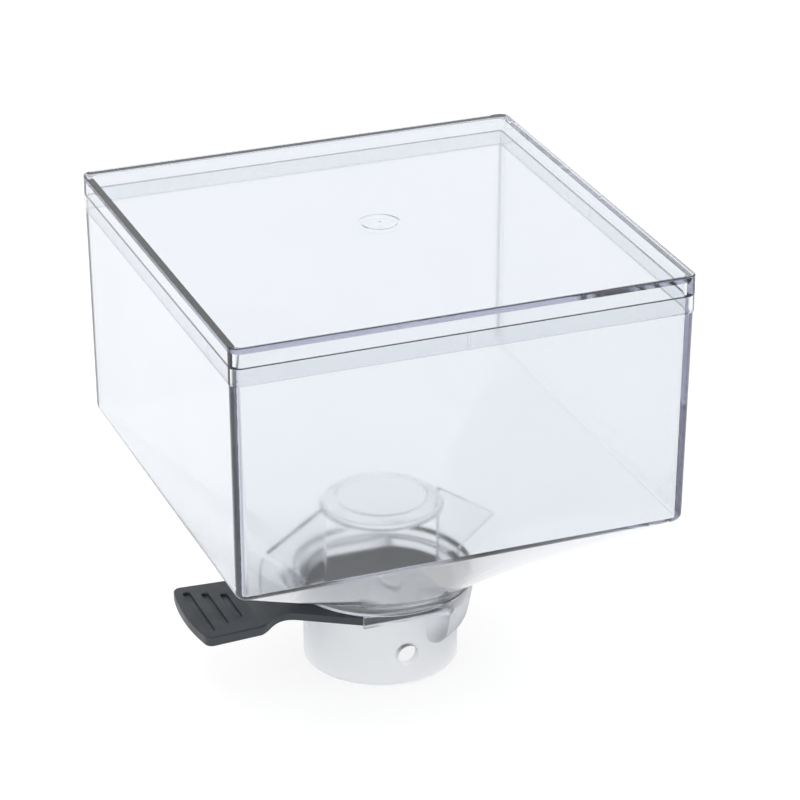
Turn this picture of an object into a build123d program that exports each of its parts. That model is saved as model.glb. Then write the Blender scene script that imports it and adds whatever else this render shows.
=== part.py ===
from build123d import *
import math
import os

os.makedirs("parts", exist_ok=True)

# Square bean hopper for a coffee grinder: a clear moulded bin with a lift-off
# lid, a square-to-round funnel, a bonded outlet collar with a slot for a
# slide gate, the gate itself and a finger guard over the throat.
#
# Frame: millimetres, +Z up. The origin is the centre of the outlet collar's
# bottom face, on the collar's axis. The gate's handle points to -X and the
# collar's screw hole opens to -Y.

# ---------------------------------------------------------------- dimensions
# heights
Z_SLOT_LO = 26.8        # floor of the gate slot = top of the lower collar
Z_GATE_LO = 27.0        # underside of the gate plate
Z_GATE_HI = 29.8        # top of the gate plate
Z_SLOT_HI = 30.0        # roof of the gate slot
Z_NECK = 32.5           # bottom rim of the hopper's neck
Z_SEAT = 34.0           # floor of the counterbore, where the guard stands
Z_FUNNEL_OUT = 36.0     # funnel's outside meets the neck
Z_FUNNEL_IN = 36.5      # funnel's inside meets the counterbore
Z_BOX = 79.6            # bottom perimeter of the square bin
Z_SHOULDER = 160.1      # shoulder under the lid's skirt
Z_SKIRT = 160.3         # bottom of the lid's skirt
Z_RIM = 166.0           # top of the bin's rim = ledge inside the lid
Z_LID_IN = 171.1        # underside of the lid's plate
Z_TOP = 174.1           # top of the lid

# bin
BOX_LO = 83.7           # half width at the bottom (slight draft)
BOX_HI = 84.7           # half width at the shoulder
WALL = 3.0
R_BOX = 3.6             # vertical corner radius, outside
R_IN = 1.2              # vertical corner radius, inside
R_EDGE = 3.0            # rounding of the bottom perimeter
RIM_OUT = 83.2          # half width of the rebated rim, outside
RIM_IN = 81.5           # half width of the rim, inside

# lid
LID_HALF = 85.0
R_LID = 3.6
LID_SKIRT_IN = 83.5     # half width inside the lower skirt, over the rim
LID_UPPER_IN = 82.0     # half width inside the upper skirt
R_MARK = 7.5            # moulding mark in the middle of the lid

# neck, collar and throat
R_NECK = 34.8
R_SOCKET = 31.05
R_SPIGOT = 31.0
R_CAP = 30.0            # upper plate of the collar, over the gate
R_THROAT = 28.3         # throat opening, round ...
THROAT_FLAT = 25.5      # ... with two flats along the guides
R_COLLAR = 29.0
R_COLLAR_TOP = 28.7     # relieved above the mounting land
Z_LAND = 13.2           # top of the mounting land
R_BORE = 25.5
FLAT = 27.6             # flats of the upper plate, flush with the gate guides
GUIDE_IN = 26.6
X_MOUTH = -17.0         # guides begin here
X_CUT = 17.5            # the open slot ends here
POCKET_ANGLE = 62.0     # half angle of the pocket around the gate's round end
FAIR_ANGLE = 77.0       # where the pocket's sides fair into the collar
R_FAIR = 28.4
POCKET = [              # height and radius of the pocket's outside
    (12.6, 28.4), (14.4, 29.9), (16.4, 31.7), (18.4, 32.7),
    (20.2, 33.1), (24.5, 33.9), (28.4, 34.6), (32.5, 34.6),
]
R_SCREW = 4.0           # clamping screw hole
Z_SCREW = 12.3

# gate
GATE_HALF = 26.3
R_GATE_END = 29.5
R_SHOULDER = 14.0       # softens the corner between the gate's sides and its end
R_HANDLE = 77.0
Z_HANDLE_LO = 26.6
Z_HANDLE_HI = 30.4
HANDLE_CORNER = (-74.6, 20.6)
ARM = [(-38.0, 13.6), (-42.5, 12.4), (-47.5, 14.6), (-53.5, 19.2)]
GROOVES = [(-71.3, 31.0), (-65.0, 25.0), (-58.7, 19.0)]

# guard
R_GUARD = 23.0
R_GUARD_TOP = 17.3
Z_GUARD_TOP = 66.6
Z_GUARD_RIM = 62.6
T_FIN = 2.0
PAD_HALF = 5.0          # half width of a foot pad

SIDE_ARC = 15.0         # half angle of the round end of each flat funnel facet


# ----------------------------------------------------------------- hopper_body
# Bin, funnel and neck are one moulding. The funnel is a ruled transition from
# a rounded square to a circle; each section has four sides and four corners.
with BuildPart() as hopper_body:
    for z, half, r in ((Z_BOX, BOX_LO, R_BOX), (Z_SHOULDER, BOX_HI, R_BOX)):
        with BuildSketch(Plane.XY.offset(z)):
            RectangleRounded(2 * half, 2 * half, r)
    loft(ruled=True)
    # rebated rim that the lid sits on
    with BuildSketch(Plane.XY.offset(Z_SHOULDER)):
        RectangleRounded(2 * RIM_OUT, 2 * RIM_OUT, R_BOX - 1.3)
    extrude(amount=Z_RIM - Z_SHOULDER)
    # funnel, outside
    with BuildSketch(Plane.XY.offset(Z_BOX)):
        with BuildLine():
            for k in range(4):
                a = math.radians(90 * k)
                c, s = math.cos(a), math.sin(a)
                h, q = BOX_LO, BOX_LO - R_BOX
                Line((h * c + q * s, h * s - q * c), (h * c - q * s, h * s + q * c))
                CenterArc((q * c - q * s, q * s + q * c), R_BOX, 90 * k, 90)
        make_face()
    with BuildSketch(Plane.XY.offset(Z_FUNNEL_OUT)):
        with BuildLine():
            for k in range(4):
                CenterArc((0, 0), R_NECK, 90 * k - SIDE_ARC, 2 * SIDE_ARC)
                CenterArc((0, 0), R_NECK, 90 * k + SIDE_ARC, 90 - 2 * SIDE_ARC)
        make_face()
    loft(ruled=True)
    # neck
    with BuildSketch(Plane.XY.offset(Z_NECK)):
        Circle(R_NECK)
    extrude(amount=Z_FUNNEL_OUT - Z_NECK)
    # rounded bottom perimeter
    base_edges = hopper_body.edges().filter_by_position(Axis.Z, Z_BOX - 0.01, Z_BOX + 0.01)
    fillet(base_edges, R_EDGE)
    # funnel, inside
    with BuildSketch(Plane.XY.offset(Z_BOX + 0.5)):
        with BuildLine():
            for k in range(4):
                a = math.radians(90 * k)
                c, s = math.cos(a), math.sin(a)
                h, q = BOX_LO - WALL, BOX_LO - WALL - R_IN
                Line((h * c + q * s, h * s - q * c), (h * c - q * s, h * s + q * c))
                CenterArc((q * c - q * s, q * s + q * c), R_IN, 90 * k, 90)
        make_face()
    with BuildSketch(Plane.XY.offset(Z_FUNNEL_IN)):
        with BuildLine():
            for k in range(4):
                CenterArc((0, 0), R_SOCKET, 90 * k - SIDE_ARC, 2 * SIDE_ARC)
                CenterArc((0, 0), R_SOCKET, 90 * k + SIDE_ARC, 90 - 2 * SIDE_ARC)
        make_face()
    loft(ruled=True, mode=Mode.SUBTRACT)
    # bin, inside
    for z, half in ((Z_BOX + 0.5, BOX_LO - WALL), (Z_RIM, RIM_IN)):
        with BuildSketch(Plane.XY.offset(z)):
            RectangleRounded(2 * half, 2 * half, R_IN)
    loft(ruled=True, mode=Mode.SUBTRACT)
    # socket for the collar's spigot
    with BuildSketch(Plane.XY.offset(Z_NECK)):
        Circle(R_SOCKET)
    extrude(amount=Z_FUNNEL_IN - Z_NECK, mode=Mode.SUBTRACT)
    # softened lower rim of the neck
    neck_edge = (
        hopper_body.edges()
        .filter_by(GeomType.CIRCLE)
        .filter_by_position(Axis.Z, Z_NECK - 0.01, Z_NECK + 0.01)
        .sort_by(SortBy.RADIUS)[-1]
    )
    fillet(neck_edge, 0.8)
hopper_body.part.label = "hopper_body"

# ------------------------------------------------------------------------- lid
with BuildPart() as lid:
    with BuildSketch(Plane.XY.offset(Z_SKIRT)):
        RectangleRounded(2 * LID_HALF, 2 * LID_HALF, R_LID)
    extrude(amount=Z_TOP - Z_SKIRT)
    fillet(lid.faces().sort_by(Axis.Z)[-1].edges(), 0.6)
    # lower skirt, over the bin's rim
    with BuildSketch(Plane.XY.offset(Z_SKIRT)):
        RectangleRounded(2 * LID_SKIRT_IN, 2 * LID_SKIRT_IN, 2.3)
    extrude(amount=Z_RIM - Z_SKIRT, mode=Mode.SUBTRACT)
    # upper skirt, under the plate
    with BuildSketch(Plane.XY.offset(Z_RIM)):
        RectangleRounded(2 * LID_UPPER_IN, 2 * LID_UPPER_IN, 2.2)
    extrude(amount=Z_LID_IN - Z_RIM, mode=Mode.SUBTRACT)
    # small crush ribs that take up the play between skirt and rim
    with BuildSketch(Plane.XY.offset(Z_SKIRT + 0.6)):
        with Locations((0, -LID_SKIRT_IN), (-60.5, LID_SKIRT_IN)):
            Rectangle(1.0, 0.5)
        with Locations((-LID_SKIRT_IN, -59.0), (LID_SKIRT_IN, 0)):
            Rectangle(0.5, 1.0)
    extrude(amount=Z_RIM - Z_SKIRT - 0.6)
    # gate mark: a shallow ring groove and a small dot in its middle
    with BuildSketch(Plane.XY.offset(Z_TOP)):
        Circle(R_MARK)
        Circle(R_MARK - 1.0, mode=Mode.SUBTRACT)
        Circle(0.7)
    extrude(amount=-0.3, mode=Mode.SUBTRACT)
lid.part.label = "lid"

# --------------------------------------------------------------- outlet_collar
# Bonded into the neck from below. The slot runs in from -X; the pocket on the
# +X side closes round the gate's end and joins the upper plate to the collar.
with BuildPart() as outlet_collar:
    with BuildSketch(Plane.XZ):
        with BuildLine():
            Polyline(
                (0, 0), (R_COLLAR, 0), (R_COLLAR, Z_LAND),
                (R_COLLAR_TOP, Z_SLOT_LO), (R_COLLAR_TOP, Z_SLOT_HI),
                (0, Z_SLOT_HI), (0, 0),
            )
        make_face()
    revolve(axis=Axis.Z)
    # upper plate with two flats, then the spigot
    with BuildSketch(Plane.XY.offset(Z_SLOT_HI - 0.5)):
        Circle(R_CAP)
        Rectangle(80, 2 * FLAT, mode=Mode.INTERSECT)
    extrude(amount=Z_NECK - Z_SLOT_HI + 0.5)
    with BuildSketch(Plane.XY.offset(Z_NECK)):
        Circle(R_SPIGOT)
    extrude(amount=Z_SEAT - Z_NECK)
    # pocket: round in plan, fairing into the collar downwards and sideways
    p, q = math.radians(POCKET_ANGLE), math.radians(FAIR_ANGLE)
    for z, r in POCKET:
        with BuildSketch(Plane.XY.offset(z)):
            with BuildLine():
                CenterArc((0, 0), r, -POCKET_ANGLE, 2 * POCKET_ANGLE)
                Polyline(
                    (r * math.cos(p), r * math.sin(p)),
                    (R_FAIR * math.cos(q), R_FAIR * math.sin(q)),
                    (0, 12), (0, -12),
                    (R_FAIR * math.cos(q), -R_FAIR * math.sin(q)),
                    (r * math.cos(p), -r * math.sin(p)),
                )
            make_face()
    loft(ruled=True)
    # saw-cut slot, open to -X and through both sides, with round ends
    r_cut = (Z_SLOT_HI - Z_SLOT_LO) / 2
    with BuildSketch(Plane.XZ.offset(-45)):
        with Locations((X_CUT - r_cut - 60, Z_SLOT_LO + r_cut)):
            Rectangle(120, 2 * r_cut)
        with Locations((X_CUT - r_cut, Z_SLOT_LO + r_cut)):
            Circle(r_cut)
    extrude(amount=90, mode=Mode.SUBTRACT)
    with BuildSketch(Plane.XY.offset(Z_SLOT_LO)):
        Circle(R_GATE_END + 0.4)
    extrude(amount=Z_SLOT_HI - Z_SLOT_LO, mode=Mode.SUBTRACT)
    # thin guides on either side of the gate
    with BuildSketch(Plane.XY.offset(Z_SLOT_LO - 0.6)):
        with Locations(
            ((X_MOUTH + X_CUT) / 2, (GUIDE_IN + FLAT) / 2),
            ((X_MOUTH + X_CUT) / 2, -(GUIDE_IN + FLAT) / 2),
        ):
            Rectangle(X_CUT - X_MOUTH, FLAT - GUIDE_IN)
    extrude(amount=Z_SLOT_HI - Z_SLOT_LO + 1.2)
    # throat and collar bore
    with BuildSketch(Plane.XY.offset(Z_SLOT_HI - 0.1)) as throat:
        Circle(R_THROAT)
        Rectangle(80, 2 * THROAT_FLAT, mode=Mode.INTERSECT)
        fillet(throat.vertices(), 12.0)
    extrude(amount=Z_SEAT - Z_SLOT_HI + 0.2, mode=Mode.SUBTRACT)
    with BuildSketch(Plane.XY.offset(-0.1)):
        Circle(R_BORE)
    extrude(amount=Z_SLOT_LO + 0.2, mode=Mode.SUBTRACT)
    # softened mouth
    fillet(
        outlet_collar.edges()
        .filter_by(GeomType.CIRCLE)
        .filter_by_position(Axis.Z, -0.01, 0.01),
        0.4,
    )
    # clamping screw hole in the front wall
    with BuildSketch(Plane.XZ.offset(20)):
        with Locations((0, Z_SCREW)):
            Circle(R_SCREW)
    extrude(amount=20, mode=Mode.SUBTRACT)
outlet_collar.part.label = "outlet_collar"

# ---------------------------------------------------------------- finger_guard
with BuildPart() as finger_guard:
    # bell-shaped cap
    with BuildSketch(Plane.XZ):
        with BuildLine():
            Polyline(
                (0, Z_GUARD_TOP), (R_GUARD_TOP, Z_GUARD_TOP),
                (21.6, Z_GUARD_TOP - 1.8), (R_GUARD, Z_GUARD_RIM),
                (R_GUARD - 2.0, Z_GUARD_RIM), (19.8, Z_GUARD_TOP - 3.4),
                (16.4, Z_GUARD_TOP - 2.0), (0, Z_GUARD_TOP - 2.0), (0, Z_GUARD_TOP),
            )
        make_face()
    revolve(axis=Axis.Z)
    # two fins, one plate each side
    for side in (1, -1):
        with BuildSketch(Plane.XZ.offset(-T_FIN / 2)):
            with BuildLine():
                Polyline(
                    (side * 21.4, Z_GUARD_RIM + 1.6), (side * 23.6, Z_GUARD_RIM + 1.6),
                    (side * 45.0, 50.3), (side * 31.6, 38.8), (side * 30.8, 38.0),
                    (side * 30.8, Z_SEAT), (side * 22.4, Z_SEAT), (side * 22.4, Z_GUARD_RIM),
                    (side * 21.4, Z_GUARD_RIM), (side * 21.4, Z_GUARD_RIM + 1.6),
                )
            make_face()
        extrude(amount=T_FIN)
    # a curved foot pad under each fin, in the counterbore
    with BuildSketch(Plane.XY.offset(Z_SEAT)):
        Circle(R_SOCKET - 0.25)
        Circle(R_THROAT + 0.3, mode=Mode.SUBTRACT)
        Rectangle(80, 2 * PAD_HALF, mode=Mode.INTERSECT)
    extrude(amount=1.0)
finger_guard.part.label = "finger_guard"

# ------------------------------------------------------------------ slide_gate
# A flat plate with a round end that closes the throat, a tapering arm and a
# thicker handle with three finger grooves. One moulding.
with BuildPart() as slide_gate:
    x_end = math.sqrt(R_GATE_END**2 - GATE_HALF**2)
    with BuildSketch(Plane.XY.offset(Z_HANDLE_LO)) as gate_outline:
        with BuildLine():
            ThreePointArc((x_end, -GATE_HALF), (R_GATE_END, 0), (x_end, GATE_HALF))
            Line((x_end, GATE_HALF), (X_MOUTH, GATE_HALF))
            Line((X_MOUTH, GATE_HALF), ARM[0])
            Spline([ARM[0], ARM[1], ARM[2], ARM[3]], tangents=[(-21.0, -12.0), (-1.0, 0.45)])
            Line(ARM[3], HANDLE_CORNER)
            ThreePointArc(HANDLE_CORNER, (-R_HANDLE, 0), (HANDLE_CORNER[0], -HANDLE_CORNER[1]))
            Line((HANDLE_CORNER[0], -HANDLE_CORNER[1]), (ARM[3][0], -ARM[3][1]))
            Spline(
                [(x, -y) for x, y in reversed(ARM)],
                tangents=[(1.0, 0.45), (21.0, -12.0)],
            )
            Line((ARM[0][0], -ARM[0][1]), (X_MOUTH, -GATE_HALF))
            Line((X_MOUTH, -GATE_HALF), (x_end, -GATE_HALF))
        make_face()
        fillet(
            gate_outline.vertices().filter_by_position(
                Axis.X, HANDLE_CORNER[0] - 0.1, HANDLE_CORNER[0] + 0.1
            ),
            3.0,
        )
        fillet(
            gate_outline.vertices().filter_by_position(Axis.X, x_end - 0.1, x_end + 0.1),
            R_SHOULDER,
        )
    extrude(amount=Z_HANDLE_HI - Z_HANDLE_LO)
    fillet(slide_gate.faces().sort_by(Axis.Z)[-1].edges(), 0.6)
    fillet(slide_gate.faces().sort_by(Axis.Z)[0].edges(), 0.4)
    # thin the arm and the plate, above and below, with short ramps
    with BuildSketch(Plane.XZ.offset(-45)):
        with BuildLine():
            Polyline(
                (-52.5, Z_HANDLE_HI), (-48.5, Z_GATE_HI), (60, Z_GATE_HI),
                (60, 40), (-52.5, 40), (-52.5, Z_HANDLE_HI),
            )
        make_face()
        with BuildLine():
            Polyline(
                (-52.5, Z_HANDLE_LO), (-48.5, Z_GATE_LO), (60, Z_GATE_LO),
                (60, 20), (-52.5, 20), (-52.5, Z_HANDLE_LO),
            )
        make_face()
    extrude(amount=90, mode=Mode.SUBTRACT)
    # finger grooves across the handle, shorter towards the arm
    with BuildSketch(Plane.XY.offset(Z_HANDLE_HI)):
        for gx, glen in GROOVES:
            with Locations(Location((gx, 0, 0), (0, 0, 90))):
                SlotOverall(glen, 2.6)
    extrude(amount=-0.9, mode=Mode.SUBTRACT)
    groove_rims = (
        slide_gate.edges()
        .filter_by_position(Axis.Z, Z_HANDLE_HI - 0.01, Z_HANDLE_HI + 0.01)
        .filter_by_position(Axis.X, GROOVES[0][0] - 1.4, GROOVES[-1][0] + 1.4)
    )
    fillet(groove_rims, 0.5)
slide_gate.part.label = "slide_gate"

for piece in (hopper_body, lid, outlet_collar, finger_guard, slide_gate):
    export_step(piece.part, "parts/" + piece.part.label + ".step")
    bb = piece.part.bounding_box()
    print(piece.part.label, piece.part.is_valid, len(piece.part.solids()),
          round(piece.part.volume, 1), bb.min, bb.max)
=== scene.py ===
import math

import bmesh
import bpy
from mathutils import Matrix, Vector

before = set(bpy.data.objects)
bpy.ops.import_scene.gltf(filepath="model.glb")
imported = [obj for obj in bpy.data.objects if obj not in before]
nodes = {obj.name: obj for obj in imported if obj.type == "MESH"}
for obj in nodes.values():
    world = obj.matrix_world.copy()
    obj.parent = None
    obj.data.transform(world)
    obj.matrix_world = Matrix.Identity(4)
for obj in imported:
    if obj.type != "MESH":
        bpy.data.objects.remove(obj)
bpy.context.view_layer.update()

scene = bpy.context.scene


# ------------------------------------------------------------------ camera
def make_camera():
    data = bpy.data.cameras.new("camera")
    data.sensor_width = 36.0
    data.lens = 156.41
    data.clip_start, data.clip_end = 0.05, 50.0
    cam = bpy.data.objects.new("camera", data)
    scene.collection.objects.link(cam)
    azimuth, elevation = math.radians(-21.437), math.radians(25.4)
    back = Vector((
        math.sin(azimuth) * math.cos(elevation),
        -math.cos(azimuth) * math.cos(elevation),
        math.sin(elevation),
    ))
    target = Vector((-0.00666, -0.0372, 0.1215))
    cam.location = target + back * 1.2265
    cam.rotation_mode = "QUATERNION"
    cam.rotation_quaternion = (-back).to_track_quat("-Z", "Y")
    scene.camera = cam


make_camera()


# --------------------------------------------------------------- materials
def new_material(name):
    mat = bpy.data.materials.new(name)
    mat.use_nodes = True
    nt = mat.node_tree
    nt.nodes.clear()
    return mat, nt


def link(nt, a, b):
    nt.links.new(a, b)


def noise(nt, coord, scale, detail=3.0, rough=0.5, stretch=(1, 1, 1)):
    mapping = nt.nodes.new("ShaderNodeMapping")
    mapping.inputs["Scale"].default_value = stretch
    link(nt, coord, mapping.inputs["Vector"])
    n = nt.nodes.new("ShaderNodeTexNoise")
    n.inputs["Scale"].default_value = scale
    n.inputs["Detail"].default_value = detail
    n.inputs["Roughness"].default_value = rough
    link(nt, mapping.outputs["Vector"], n.inputs["Vector"])
    return n.outputs["Fac"]


def remap(nt, value, lo, hi, from_lo=0.3, from_hi=0.7):
    m = nt.nodes.new("ShaderNodeMapRange")
    m.inputs["From Min"].default_value = from_lo
    m.inputs["From Max"].default_value = from_hi
    m.inputs["To Min"].default_value = lo
    m.inputs["To Max"].default_value = hi
    link(nt, value, m.inputs["Value"])
    return m.outputs["Result"]


def ramp(nt, value, stops):
    r = nt.nodes.new("ShaderNodeValToRGB")
    el = r.color_ramp.elements
    el[0].position, el[0].color = stops[0][0], (*stops[0][1], 1)
    el[1].position, el[1].color = stops[-1][0], (*stops[-1][1], 1)
    for pos, col in stops[1:-1]:
        e = el.new(pos)
        e.color = (*col, 1)
    link(nt, value, r.inputs["Fac"])
    return r.outputs["Color"]


def math_node(nt, operation, a, b=None):
    m = nt.nodes.new("ShaderNodeMath")
    m.operation = operation
    for socket, value in ((m.inputs[0], a), (m.inputs[1], b)):
        if value is None:
            continue
        if isinstance(value, (int, float)):
            socket.default_value = value
        else:
            link(nt, value, socket)
    return m.outputs[0]


def paint_corner_shade(nt, coord, colour, corner_shade_colour):
    """Painted shade on the bin's four rounded corner arcs, which follow the bin's draft: a darker colour
    standing in for the dark those arcs show where light runs through the plastic there.
    """
    xyz = nt.nodes.new("ShaderNodeSeparateXYZ")
    link(nt, coord, xyz.inputs["Vector"])
    x = math_node(nt, "ABSOLUTE", xyz.outputs["X"])
    y = math_node(nt, "ABSOLUTE", xyz.outputs["Y"])
    inset = math_node(nt, "MULTIPLY", xyz.outputs["Z"], 0.01242)
    depth = math_node(nt, "SUBTRACT", math_node(nt, "MINIMUM", x, y), inset)
    painted_shade_mask = remap(nt, depth, 0.0, 1.0, 0.07985, 0.08035)
    above = remap(nt, xyz.outputs["Z"], 0.0, 1.0, 0.0790, 0.0815)
    painted_shade_mask = math_node(nt, "MULTIPLY", painted_shade_mask, above)
    mix = nt.nodes.new("ShaderNodeMix")
    mix.data_type = "RGBA"
    link(nt, painted_shade_mask, mix.inputs["Factor"])
    link(nt, colour, mix.inputs["A"])
    mix.inputs["B"].default_value = (*corner_shade_colour, 1)
    return mix.outputs["Result"]


def clear_plastic(name, rough=(0.045, 0.085), tint=((0.860, 0.880, 0.900), (0.874, 0.892, 0.911)),
                  sigma=(2.8, 2.7, 1.6), wave=0.008, ior=1.57, corner_shade=None):
    """Clear moulded plastic: a slow moulded waviness, a faint haze in patches and the plastic's own absorption.
    The optional corner colour is painted shade on the rounded vertical corner arcs, standing in for how dark
    they look where light runs through the plastic's whole depth."""
    mat, nt = new_material(name)
    out = nt.nodes.new("ShaderNodeOutputMaterial")
    p = nt.nodes.new("ShaderNodeBsdfPrincipled")
    coord = nt.nodes.new("ShaderNodeTexCoord").outputs["Object"]
    p.inputs["Transmission Weight"].default_value = 1.0
    p.inputs["IOR"].default_value = ior
    p.inputs["Metallic"].default_value = 0.0
    # colour: hardly there, with slow flow patches
    colour = ramp(nt, noise(nt, coord, 9.0, 2.0), [(0.35, tint[0]), (0.65, tint[1])])
    # painted shade: a darker colour mixed onto the rounded corner arcs
    if corner_shade:
        colour = paint_corner_shade(nt, coord, colour, corner_shade)
    link(nt, colour, p.inputs["Base Color"])
    # gloss: polished, with faint haze patches and fine handling marks
    haze = noise(nt, coord, 28.0, 5.0, 0.62)
    marks = noise(nt, coord, 260.0, 2.0, 0.5, stretch=(1.0, 0.12, 1.0))
    mix = nt.nodes.new("ShaderNodeMath")
    mix.operation = "MULTIPLY_ADD"
    link(nt, marks, mix.inputs[0])
    mix.inputs[1].default_value = 0.35
    link(nt, haze, mix.inputs[2])
    link(nt, remap(nt, mix.outputs[0], rough[0], rough[1], 0.45, 0.9), p.inputs["Roughness"])
    # moulded waviness
    bump = nt.nodes.new("ShaderNodeBump")
    bump.inputs["Strength"].default_value = wave
    bump.inputs["Distance"].default_value = 0.001
    link(nt, noise(nt, coord, 16.0, 1.0, 0.4), bump.inputs["Height"])
    link(nt, bump.outputs["Normal"], p.inputs["Normal"])
    link(nt, p.outputs["BSDF"], out.inputs["Surface"])
    vol = nt.nodes.new("ShaderNodeVolumeAbsorption")
    density = max(sigma) * 1.25
    vol.inputs["Color"].default_value = tuple(1 - s / density for s in sigma) + (1,)
    vol.inputs["Density"].default_value = density
    link(nt, vol.outputs["Volume"], out.inputs["Volume"])
    return mat


def gate_plastic(name):
    """Charcoal moulded plastic with a fine spark-eroded texture."""
    mat, nt = new_material(name)
    out = nt.nodes.new("ShaderNodeOutputMaterial")
    p = nt.nodes.new("ShaderNodeBsdfPrincipled")
    coord = nt.nodes.new("ShaderNodeTexCoord").outputs["Object"]
    link(nt, ramp(nt, noise(nt, coord, 45.0, 4.0, 0.6),
                  [(0.3, (0.027, 0.032, 0.039)), (0.7, (0.043, 0.051, 0.061))]), p.inputs["Base Color"])
    link(nt, remap(nt, noise(nt, coord, 120.0, 4.0, 0.6), 0.34, 0.50), p.inputs["Roughness"])
    fine = noise(nt, coord, 2200.0, 2.0, 0.6)
    slow = noise(nt, coord, 60.0, 2.0, 0.5)
    mix = nt.nodes.new("ShaderNodeMath")
    mix.operation = "MULTIPLY_ADD"
    link(nt, slow, mix.inputs[0])
    mix.inputs[1].default_value = 0.8
    link(nt, fine, mix.inputs[2])
    bump = nt.nodes.new("ShaderNodeBump")
    bump.inputs["Strength"].default_value = 0.35
    bump.inputs["Distance"].default_value = 0.00012
    link(nt, mix.outputs[0], bump.inputs["Height"])
    link(nt, bump.outputs["Normal"], p.inputs["Normal"])
    link(nt, p.outputs["BSDF"], out.inputs["Surface"])
    return mat


LOOKS = {
    # the bin's corner colour here is painted shade on its rounded corner arcs
    "hopper_body": (clear_plastic("bin_plastic", corner_shade=(0.34, 0.345, 0.42)), "clear_body"),
    "lid": (clear_plastic("lid_plastic", rough=(0.03, 0.06), sigma=(3.9, 3.8, 2.5),
                            tint=((0.845, 0.865, 0.890), (0.858, 0.877, 0.900))), "clear_lid"),
    "outlet_collar": (clear_plastic("collar_plastic", rough=(0.30, 0.40), wave=0.02), "clear_collar"),
    "finger_guard": (clear_plastic("guard_plastic", rough=(0.08, 0.15), wave=0.02,
                                   tint=((0.940, 0.947, 0.960), (0.955, 0.960, 0.970))), "clear_guard"),
    "slide_gate": (gate_plastic("gate_plastic"), "black_gate"),
}
for name, (mat, slot) in LOOKS.items():
    ob = nodes[name]
    ob.data.materials.clear()
    ob.data.materials.append(mat)


# ------------------------------------------------------------ floor and light
def make_floor():
    mesh = bpy.data.meshes.new("floor")
    bm = bmesh.new()
    bmesh.ops.create_grid(bm, x_segments=1, y_segments=1, size=6.0)
    bm.to_mesh(mesh)
    bm.free()
    floor = bpy.data.objects.new("floor", mesh)
    scene.collection.objects.link(floor)
    mat, nt = new_material("floor_white")
    out = nt.nodes.new("ShaderNodeOutputMaterial")
    p = nt.nodes.new("ShaderNodeBsdfPrincipled")
    p.inputs["Base Color"].default_value = (0.34, 0.34, 0.34, 1)
    p.inputs["Emission Color"].default_value = (1, 1, 1, 1)
    p.inputs["Emission Strength"].default_value = 0.80
    p.inputs["Roughness"].default_value = 0.9
    p.inputs["Specular IOR Level"].default_value = 0.1
    link(nt, p.outputs["BSDF"], out.inputs["Surface"])
    mesh.materials.append(mat)


def area(name, location, target, size, power, color=(1, 1, 1)):
    data = bpy.data.lights.new(name, "AREA")
    data.shape = "RECTANGLE"
    data.size, data.size_y = size
    data.energy = power
    data.color = color
    ob = bpy.data.objects.new(name, data)
    scene.collection.objects.link(ob)
    ob.location = location
    ob.rotation_mode = "QUATERNION"
    ob.rotation_quaternion = (Vector(target) - Vector(location)).to_track_quat("-Z", "Y")
    return ob


make_floor()
world = bpy.data.worlds.new("studio")
scene.world = world
world.use_nodes = True
wt = world.node_tree
wt.nodes.clear()
wout = wt.nodes.new("ShaderNodeOutputWorld")
bg = wt.nodes.new("ShaderNodeBackground")
bg.inputs["Color"].default_value = (0.97, 0.975, 1.0, 1)
bg.inputs["Strength"].default_value = 0.80
wt.links.new(bg.outputs["Background"], wout.inputs["Surface"])

area("softbox_top", (0.0, 0.2, 1.9), (0, 0, 0), (2.6, 2.6), 9.0)
area("softbox_left", (-1.8, -0.6, 1.1), (0, 0, 0.1), (1.4, 1.4), 4.0)
area("softbox_back", (0.4, 2.2, 1.2), (0, 0, 0.1), (2.4, 1.4), 4.0)

scene.view_settings.view_transform = "Standard"
scene.view_settings.look = "None"
scene.cycles.max_bounces = 32
scene.cycles.transmission_bounces = 32
scene.cycles.glossy_bounces = 32
scene.cycles.diffuse_bounces = 4
scene.cycles.transparent_max_bounces = 16
